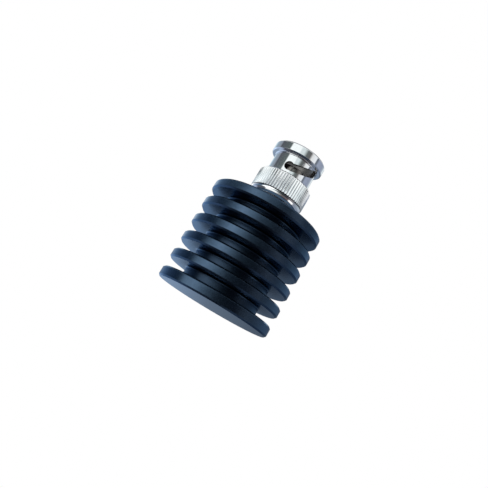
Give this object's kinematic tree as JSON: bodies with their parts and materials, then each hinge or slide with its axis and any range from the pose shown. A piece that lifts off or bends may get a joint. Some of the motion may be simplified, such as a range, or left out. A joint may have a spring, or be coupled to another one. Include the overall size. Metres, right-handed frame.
{
  "type": "coaxial terminator",
  "caption": "Coaxial load termination: a bayonet plug with a sprung, knurled coupling nut on a black round finned heat sink that stands on its flat base.",
  "frame": {"origin": "centre of the heat sink's flat base face", "axes": "+Z along the axis from the base face to the plug's mouth; one bayonet pocket faces -Y, 14 degrees towards -X"},
  "size_m": [0.03, 0.03, 0.045],
  "materials": {
    "anodised": "black anodised, fine turning marks",
    "nickel": "bright nickel plate on brass",
    "contact_nickel": "nickel plate on spring alloy",
    "spring_steel": "rolled spring steel",
    "silicone": "moulded silicone rubber",
    "gold": "gold plate on brass",
    "ptfe": "turned white fluoroplastic",
    "resistor_film": "resistance film on a ceramic rod",
    "brass": "turned brass"
  },
  "bodies": {
    "root": {"heat_sink": "anodised", "connector_body": "nickel", "outer_contact": "contact_nickel", "gasket": "silicone", "center_contact": "gold", "front_insulator": "ptfe", "rear_insulator": "ptfe", "resistor_rod": "resistor_film", "resistor_front_cap": "contact_nickel", "resistor_rear_cap": "contact_nickel", "matching_sleeve": "brass", "ground_collet": "brass", "wave_washer_rear": "spring_steel", "wave_washer_front": "spring_steel"},
    "spring_seat": {"thrust_washer": "spring_steel"},
    "nut": {"coupling_nut": "nickel", "retaining_ring": "spring_steel"}
  },
  "joints": [
    {"name": "nut_slide", "type": "slide", "parent": "root", "child": "spring_seat", "axis": [0, 0, 1], "range_m": [0, 0.0005], "stiffness_N_per_m": 12000, "springref_m": -0.0005, "deforming": ["wave_washer_rear", "wave_washer_front"]},
    {"name": "nut_spin", "type": "hinge", "parent": "spring_seat", "child": "nut", "pos_m": [0, 0, 0.036], "axis": [0, 0, 1], "continuous": true}
  ]
}
